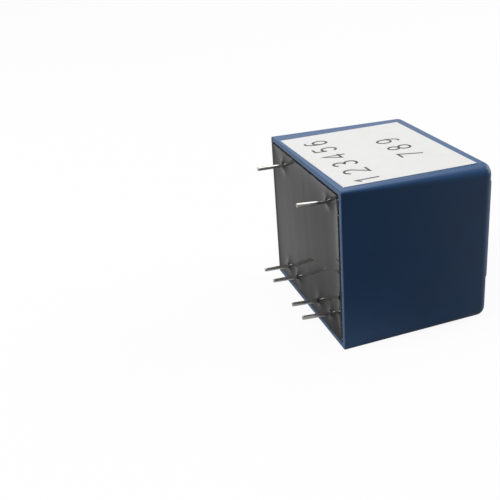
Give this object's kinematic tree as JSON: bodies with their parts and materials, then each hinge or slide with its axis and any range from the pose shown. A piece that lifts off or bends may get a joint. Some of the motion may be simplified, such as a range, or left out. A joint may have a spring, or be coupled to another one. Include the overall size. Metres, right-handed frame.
{
  "type": "pcb transformer",
  "caption": "Encapsulated board-mount transformer: potted laminated core and two-chamber coil in an open moulded case with a raised block, round pins in two rows.",
  "frame": {"origin": "middle of the pin field on the seating plane, which is the rim of the case", "axes": "+Y from the seating plane into the body (the pins point along -Y), +X along the pin rows, +Z out of the face that carries the label; the part lies on its -Z face"},
  "size_m": [0.0324, 0.0341, 0.0275],
  "materials": {
    "case_plastic": "satin moulded plastic, navy blue",
    "label_paper": "matt white paper",
    "casting_resin": "cast, glossy grey",
    "former_plastic": "moulded, black",
    "core_steel": "annealed core sheet, blue-grey scale",
    "magnet_wire": "enamelled copper wire, wound",
    "wrap_film": "yellow polyester film",
    "tinned_wire": "hot-tinned, bright"
  },
  "bodies": {
    "root": {"case": "case_plastic", "label": "label_paper", "potting_resin": "casting_resin", "bobbin": "former_plastic", "e_laminations": "core_steel", "i_laminations": "core_steel", "primary_winding": "magnet_wire", "primary_tape": "wrap_film", "secondary_winding_a": "magnet_wire", "interlayer_tape": "wrap_film", "secondary_winding_b": "magnet_wire", "secondary_tape": "wrap_film", "pin_1": "tinned_wire", "pin_5": "tinned_wire", "pin_6": "tinned_wire", "pin_7": "tinned_wire", "pin_9": "tinned_wire", "pin_10": "tinned_wire", "lead_1": "magnet_wire", "lead_5": "magnet_wire", "lead_6": "magnet_wire", "lead_7": "magnet_wire", "lead_9": "magnet_wire", "lead_10": "magnet_wire"}
  },
  "joints": []
}
